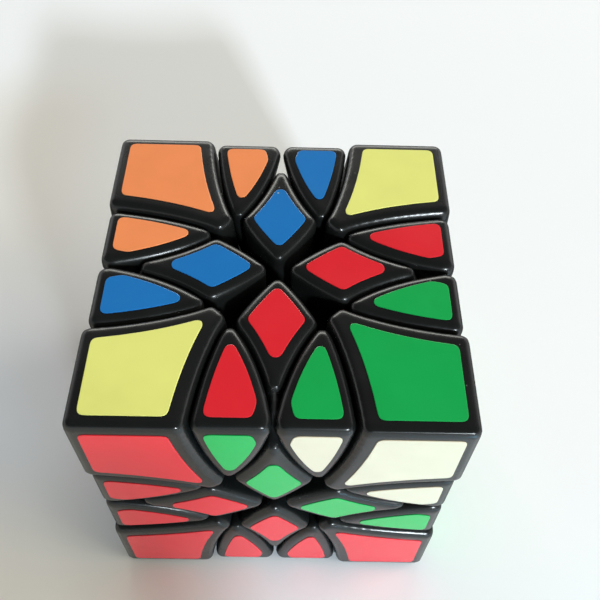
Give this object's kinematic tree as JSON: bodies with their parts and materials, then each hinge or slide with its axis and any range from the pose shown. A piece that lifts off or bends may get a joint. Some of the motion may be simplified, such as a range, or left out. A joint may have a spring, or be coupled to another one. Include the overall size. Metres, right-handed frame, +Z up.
{
  "type": "corner-turning puzzle cube",
  "caption": "Black plastic puzzle cube whose corner layers turn about the body diagonals at two depths, with curved cuts, wings, diamond petals and coloured stickers.",
  "frame": {"origin": "centre of the core, which is the centre of the cube", "axes": "+Z up through the top face, +X to the right face, -Y out of the front face that the picture shows below the top face"},
  "size_m": [0.0654, 0.0654, 0.0654],
  "materials": {
    "black_plastic": "moulded black plastic with a soft gloss",
    "hub_plastic": "plain moulded plastic",
    "screw_steel": "plated steel",
    "spring_steel": "spring wire",
    "sticker_red": "vinyl sticker",
    "sticker_blue": "vinyl sticker",
    "sticker_green": "vinyl sticker",
    "sticker_yellow": "vinyl sticker",
    "sticker_orange": "vinyl sticker",
    "sticker_white": "vinyl sticker, cream white"
  },
  "bodies": {
    "core_frame": {"core": "hub_plastic", "axis_screws": "screw_steel", "axis_springs": "spring_steel", "axis_washers": "screw_steel", "corner_feet_fixed": "black_plastic", "corner_caps_fixed": "black_plastic", "stickers_fixed": "sticker_white"},
    "deep_layer_top_front_left": {"petals_top_front": "black_plastic", "petals_top_left": "black_plastic", "petals_front_left": "black_plastic", "wing_top_front_right": "black_plastic", "wing_top_left_back": "black_plastic", "wing_front_left_bottom": "black_plastic", "stickers_deep_top_front_left": "sticker_red"},
    "tip_layer_top_front_left": {"corner_foot_top_front_left": "black_plastic", "corner_cap_top_front_left": "black_plastic", "wing_top_front_left": "black_plastic", "wing_top_left_front": "black_plastic", "wing_front_left_top": "black_plastic", "stickers_tip_top_front_left": "sticker_yellow"},
    "deep_layer_top_back_right": {"petals_top_back": "black_plastic", "petals_top_right": "black_plastic", "petals_back_right": "black_plastic", "wing_top_back_left": "black_plastic", "wing_top_right_front": "black_plastic", "wing_back_right_bottom": "black_plastic", "stickers_deep_top_back_right": "sticker_blue"},
    "tip_layer_top_back_right": {"corner_foot_top_back_right": "black_plastic", "corner_cap_top_back_right": "black_plastic", "wing_top_back_right": "black_plastic", "wing_top_right_back": "black_plastic", "wing_back_right_top": "black_plastic", "stickers_tip_top_back_right": "sticker_orange"},
    "deep_layer_bottom_front_right": {"petals_bottom_front": "black_plastic", "petals_bottom_right": "black_plastic", "petals_front_right": "black_plastic", "wing_bottom_front_left": "black_plastic", "wing_bottom_right_back": "black_plastic", "wing_front_right_top": "black_plastic", "stickers_deep_bottom_front_right": "sticker_green"},
    "tip_layer_bottom_front_right": {"corner_foot_bottom_front_right": "black_plastic", "corner_cap_bottom_front_right": "black_plastic", "wing_bottom_front_right": "black_plastic", "wing_bottom_right_front": "black_plastic", "wing_front_right_bottom": "black_plastic", "stickers_tip_bottom_front_right": "sticker_green"},
    "deep_layer_bottom_back_left": {"petals_bottom_back": "black_plastic", "petals_bottom_left": "black_plastic", "petals_back_left": "black_plastic", "wing_bottom_back_right": "black_plastic", "wing_bottom_left_front": "black_plastic", "wing_back_left_top": "black_plastic", "stickers_deep_bottom_back_left": "sticker_orange"},
    "tip_layer_bottom_back_left": {"corner_foot_bottom_back_left": "black_plastic", "corner_cap_bottom_back_left": "black_plastic", "wing_bottom_back_left": "black_plastic", "wing_bottom_left_back": "black_plastic", "wing_back_left_bottom": "black_plastic", "stickers_tip_bottom_back_left": "sticker_white"}
  },
  "joints": [
    {"name": "deep_turn_top_front_left", "type": "hinge", "parent": "core_frame", "child": "deep_layer_top_front_left", "pos_m": [0, 0, 0], "axis": [-0.5774, -0.5774, 0.5774], "continuous": true},
    {"name": "tip_turn_top_front_left", "type": "hinge", "parent": "deep_layer_top_front_left", "child": "tip_layer_top_front_left", "pos_m": [0, 0, 0], "axis": [-0.5774, -0.5774, 0.5774], "continuous": true},
    {"name": "deep_turn_top_back_right", "type": "hinge", "parent": "core_frame", "child": "deep_layer_top_back_right", "pos_m": [0, 0, 0], "axis": [0.5774, 0.5774, 0.5774], "continuous": true},
    {"name": "tip_turn_top_back_right", "type": "hinge", "parent": "deep_layer_top_back_right", "child": "tip_layer_top_back_right", "pos_m": [0, 0, 0], "axis": [0.5774, 0.5774, 0.5774], "continuous": true},
    {"name": "deep_turn_bottom_front_right", "type": "hinge", "parent": "core_frame", "child": "deep_layer_bottom_front_right", "pos_m": [0, 0, 0], "axis": [0.5774, -0.5774, -0.5774], "continuous": true},
    {"name": "tip_turn_bottom_front_right", "type": "hinge", "parent": "deep_layer_bottom_front_right", "child": "tip_layer_bottom_front_right", "pos_m": [0, 0, 0], "axis": [0.5774, -0.5774, -0.5774], "continuous": true},
    {"name": "deep_turn_bottom_back_left", "type": "hinge", "parent": "core_frame", "child": "deep_layer_bottom_back_left", "pos_m": [0, 0, 0], "axis": [-0.5774, 0.5774, -0.5774], "continuous": true},
    {"name": "tip_turn_bottom_back_left", "type": "hinge", "parent": "deep_layer_bottom_back_left", "child": "tip_layer_bottom_back_left", "pos_m": [0, 0, 0], "axis": [-0.5774, 0.5774, -0.5774], "continuous": true}
  ]
}
